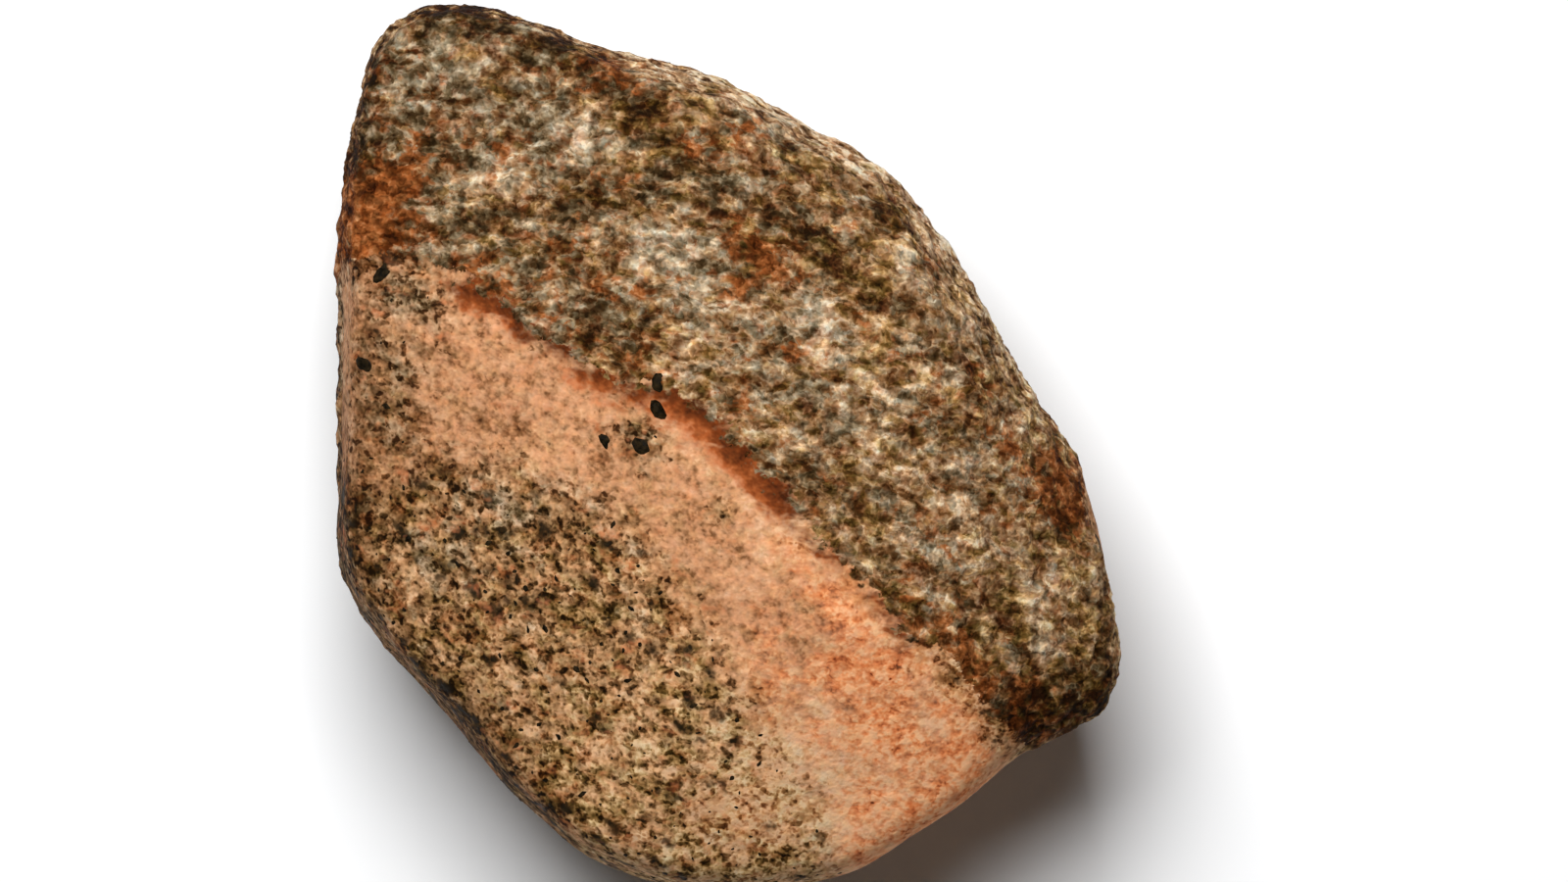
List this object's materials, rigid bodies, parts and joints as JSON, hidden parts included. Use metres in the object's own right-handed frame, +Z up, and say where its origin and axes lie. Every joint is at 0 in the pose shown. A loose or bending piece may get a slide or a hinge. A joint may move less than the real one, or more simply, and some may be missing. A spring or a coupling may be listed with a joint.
{
  "type": "martian meteorite",
  "caption": "Fist-sized stone meteorite with a rough rust-stained skin and a smooth pink, black-flecked broken face; it lies on a small flat spot.",
  "frame": {"origin": "on the surface the stone rests on, below the middle of its bounding box", "axes": "+Z up, out of the face that shows in the picture; +Y along the stone's length, towards its narrow end; +X across it"},
  "size_m": [0.1332, 0.1508, 0.088],
  "materials": {
    "stone": "weathered coarse-grained rock: grey, cream and olive skin with rust stains, and a salmon-pink broken face with black flecks"
  },
  "bodies": {
    "root": {"meteorite": "stone"}
  },
  "joints": []
}
